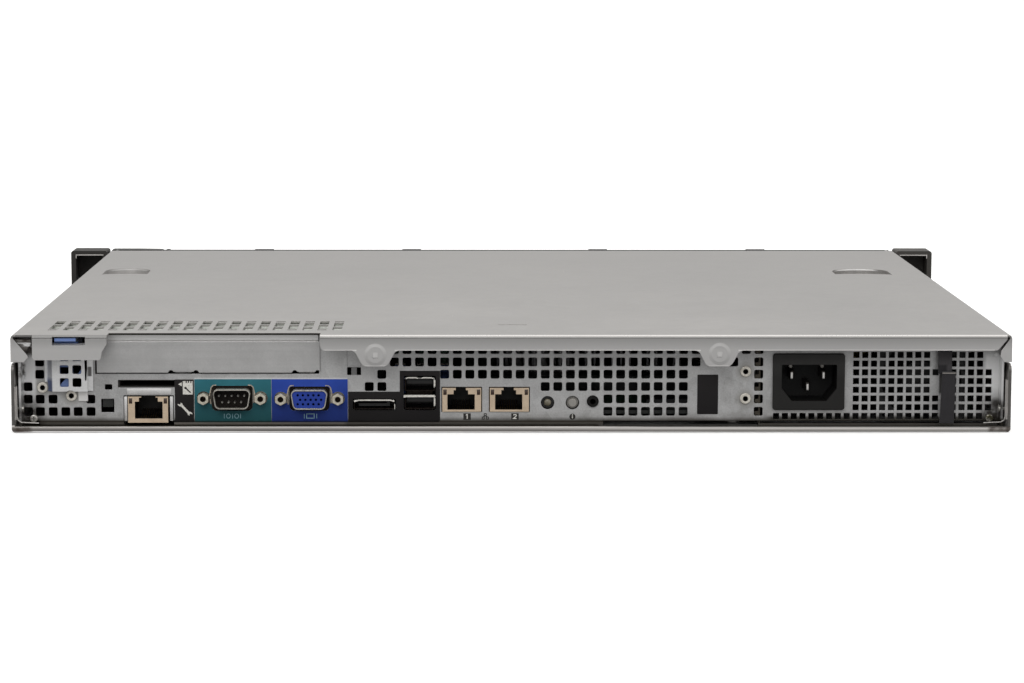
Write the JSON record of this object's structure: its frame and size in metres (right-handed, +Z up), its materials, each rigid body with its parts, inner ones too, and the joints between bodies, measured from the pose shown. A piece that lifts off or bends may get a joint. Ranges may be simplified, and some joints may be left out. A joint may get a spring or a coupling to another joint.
{
  "type": "rack server",
  "caption": "Flat one-unit rack server with a lift-off sheet steel cover, rear port panel with vents and power inlet, and hollow-backed rack ears at the front.",
  "frame": {"origin": "centre of the bounding box at the underside of the floor", "axes": "+X to the right seen from the rear, +Y towards the front and the rack ears, +Z up"},
  "size_m": [0.4826, 0.4123, 0.0424],
  "materials": {
    "galvanised": "plain galvanised sheet",
    "latch_blue": "blue moulded plastic",
    "bright_metal": "nickel plate",
    "label_black": "printed label",
    "label_teal": "printed label",
    "label_blue": "printed label",
    "video_blue": "blue moulded plastic",
    "jack_cream": "cream moulded plastic",
    "gold_contact": "plated contact",
    "black_plastic": "black moulded plastic",
    "ear_black": "textured black plastic",
    "button_grey": "light grey plastic",
    "led_beige": "diffused lens",
    "strap_black": "woven strap",
    "board_green": "coated circuit board",
    "components": "mixed components",
    "heatsink_alu": "extruded",
    "drive_alu": "cast and stamped housing",
    "supply_steel": "galvanised sheet",
    "cable_black": "sleeved wires"
  },
  "bodies": {
    "chassis": {"chassis_base": "galvanised", "rear_panel": "galvanised", "latch_guide": "galvanised", "slot_filler": "galvanised", "chassis_fasteners": "bright_metal", "clinch_nuts": "bright_metal", "serial_shell": "bright_metal", "video_shell": "bright_metal", "port_jackscrews": "bright_metal", "usb_shells": "bright_metal", "storage_port_shell": "bright_metal", "serial_insert": "black_plastic", "serial_pins": "gold_contact", "video_insert": "video_blue", "usb_tongues": "black_plastic", "storage_port_tongue": "black_plastic", "network_jacks": "jack_cream", "network_contacts": "gold_contact", "card_slot": "black_plastic", "id_led": "led_beige", "id_jack": "black_plastic", "port_label_black": "label_black", "port_label_teal": "label_teal", "port_label_blue": "label_blue", "cord_strap": "strap_black", "power_inlet": "black_plastic", "power_inlet_pins": "bright_metal", "psu_case": "supply_steel", "psu_board": "components", "psu_fan_frame": "black_plastic", "fan_frames": "black_plastic", "motherboard": "board_green", "board_components": "components", "cpu_heatsink": "heatsink_alu", "memory_sockets": "components", "memory_modules": "board_green", "riser_card": "board_green", "management_card": "board_green", "optical_drive": "supply_steel", "front_panel": "ear_black", "rack_ears": "ear_black", "power_harness": "cable_black"},
    "cover": {"top_cover": "galvanised"},
    "latch": {"cover_latch": "latch_blue"},
    "locator_button": {"id_button": "button_grey"},
    "start_button": {"power_button": "button_grey"},
    "disc_tray": {"optical_tray": "black_plastic"},
    "tray_button": {"eject_button": "black_plastic"},
    "drive_left": {"hard_drive_left": "drive_alu", "drive_carrier_left": "black_plastic"},
    "drive_right": {"hard_drive_right": "drive_alu", "drive_carrier_right": "black_plastic"},
    "fan_left": {"fan_rotor_left": "black_plastic"},
    "fan_middle": {"fan_rotor_middle": "black_plastic"},
    "fan_right": {"fan_rotor_right": "black_plastic"},
    "supply_fan": {"psu_fan_rotor": "black_plastic"}
  },
  "joints": [
    {"name": "cover_lift", "type": "slide", "parent": "chassis", "child": "cover", "axis": [0, 0, 1], "range_m": [0, 0.12]},
    {"name": "cover_latch_press", "type": "slide", "parent": "chassis", "child": "latch", "axis": [0, 1, 0], "range_m": [0, 0.004], "stiffness_N_per_m": 300},
    {"name": "locator_button_press", "type": "slide", "parent": "chassis", "child": "locator_button", "axis": [0, 1, 0], "range_m": [0, 0.0012], "stiffness_N_per_m": 400},
    {"name": "power_button_press", "type": "slide", "parent": "chassis", "child": "start_button", "axis": [0, -1, 0], "range_m": [0, 0.0015], "stiffness_N_per_m": 400},
    {"name": "disc_tray_slide", "type": "slide", "parent": "chassis", "child": "disc_tray", "axis": [0, 1, 0], "range_m": [0, 0.13]},
    {"name": "eject_button_press", "type": "slide", "parent": "disc_tray", "child": "tray_button", "axis": [0, -1, 0], "range_m": [0, 0.001], "stiffness_N_per_m": 300},
    {"name": "drive_left_slide", "type": "slide", "parent": "chassis", "child": "drive_left", "axis": [0, 1, 0], "range_m": [0, 0.15]},
    {"name": "drive_right_slide", "type": "slide", "parent": "chassis", "child": "drive_right", "axis": [0, 1, 0], "range_m": [0, 0.15]},
    {"name": "fan_left_spin", "type": "hinge", "parent": "chassis", "child": "fan_left", "pos_m": [-0.13, 0.013, 0.021], "axis": [0, 1, 0], "continuous": true},
    {"name": "fan_middle_spin", "type": "hinge", "parent": "chassis", "child": "fan_middle", "pos_m": [-0.04, 0.013, 0.021], "axis": [0, 1, 0], "continuous": true},
    {"name": "fan_right_spin", "type": "hinge", "parent": "chassis", "child": "fan_right", "pos_m": [0.05, 0.013, 0.021], "axis": [0, 1, 0], "continuous": true},
    {"name": "supply_fan_spin", "type": "hinge", "parent": "chassis", "child": "supply_fan", "pos_m": [0.18, -0.177, 0.021], "axis": [0, 1, 0], "continuous": true}
  ]
}
